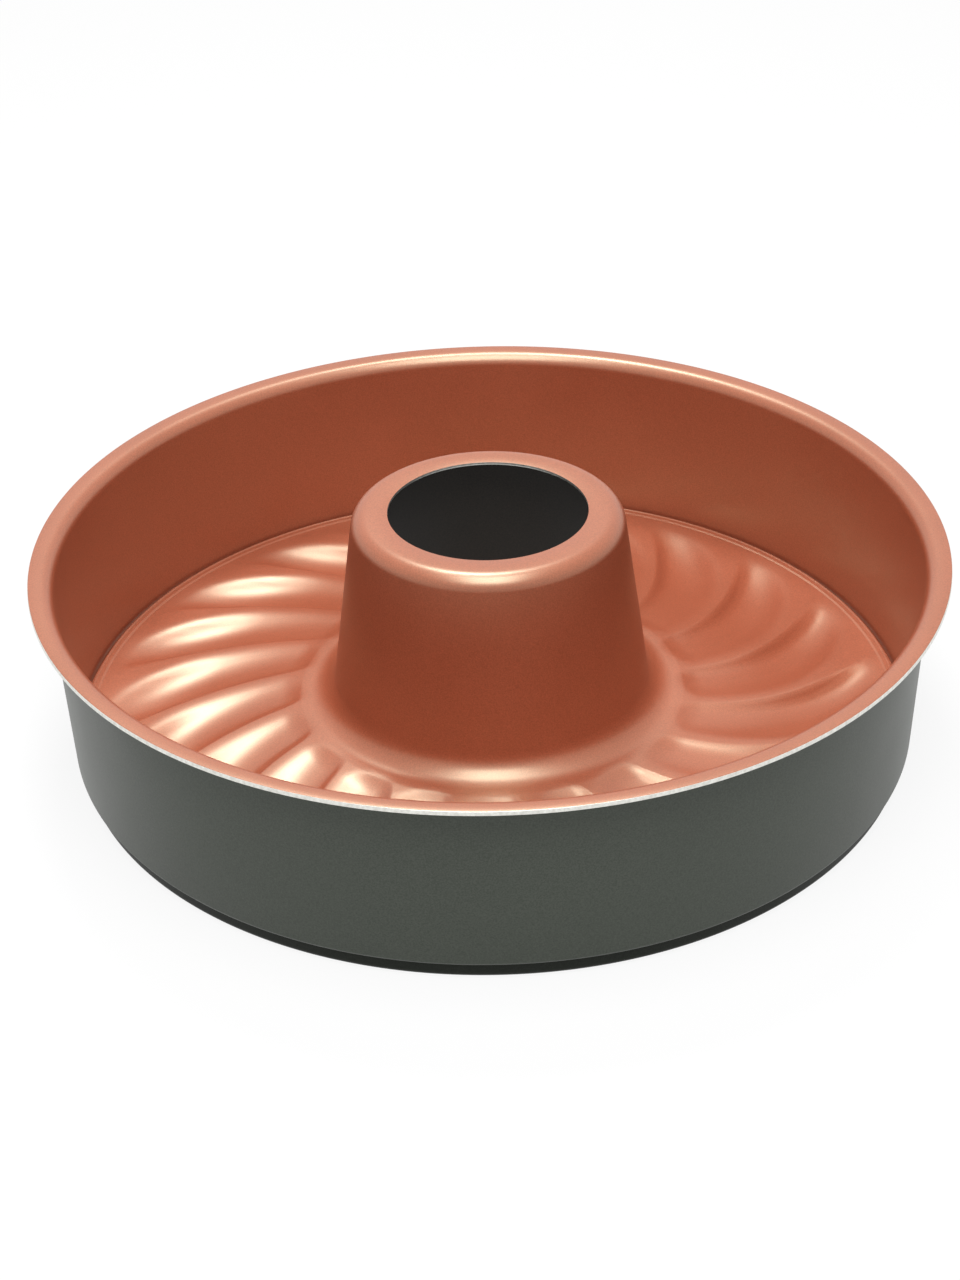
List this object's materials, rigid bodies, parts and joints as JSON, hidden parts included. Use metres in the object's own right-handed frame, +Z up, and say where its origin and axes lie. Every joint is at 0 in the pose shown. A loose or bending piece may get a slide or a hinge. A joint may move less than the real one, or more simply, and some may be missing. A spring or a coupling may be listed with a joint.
{
  "type": "loose-base ring cake pan",
  "caption": "Round ring cake pan: a flared side ring on a turned-in foot, and a lift-out base with spiral flutes and an open conical centre tube.",
  "frame": {"origin": "on the pan's axis, in the plane that its foot stands on", "axes": "+Z up along the tube and the lift direction of the base; -Y towards the camera of the picture, +X to its right"},
  "size_m": [0.28, 0.28, 0.0756],
  "materials": {
    "ring_coated_steel": "satin graphite coat outside, copper-coloured non-stick coat inside and on the lip, bare cut edge",
    "base_coated_steel": "satin copper-coloured non-stick coat on top, dark brown-black coat underneath, bare cut edge round the hole"
  },
  "bodies": {
    "ring": {"side_ring": "ring_coated_steel"},
    "base": {"tube_base": "base_coated_steel"}
  },
  "joints": [
    {"name": "base_lift", "type": "slide", "parent": "ring", "child": "base", "axis": [0, 0, 1], "range_m": [0, 0.08]}
  ]
}
